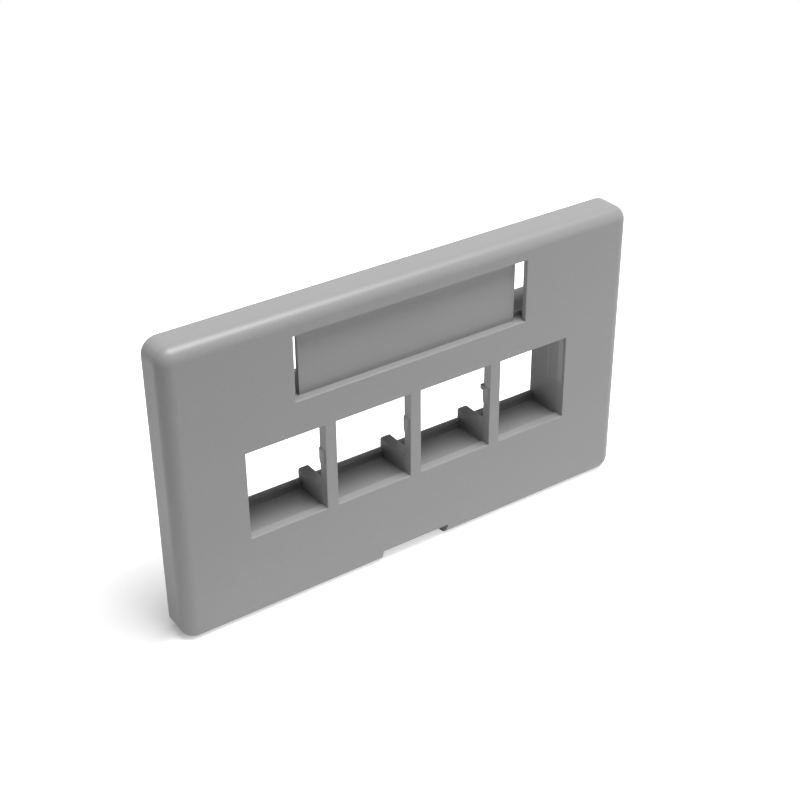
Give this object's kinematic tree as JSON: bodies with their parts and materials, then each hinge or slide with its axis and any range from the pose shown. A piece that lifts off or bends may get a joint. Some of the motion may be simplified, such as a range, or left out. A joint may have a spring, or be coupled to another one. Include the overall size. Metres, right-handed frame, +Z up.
{
  "type": "keystone faceplate",
  "caption": "Flat moulded faceplate for a furniture panel, with a row of keystone jack openings, a recessed label pocket above them and snap arms behind.",
  "frame": {"origin": "centre of the plate in the plane of the rim's rear edge, which bears on the furniture panel", "axes": "+X along the long edge, to the right seen from the front; +Y from the front face to the rear, into the furniture panel; +Z up"},
  "size_m": [0.0922, 0.0108, 0.055],
  "materials": {
    "grey_plastic": "fine matte moulded grain, even mid grey"
  },
  "bodies": {
    "root": {"faceplate": "grey_plastic"}
  },
  "joints": []
}
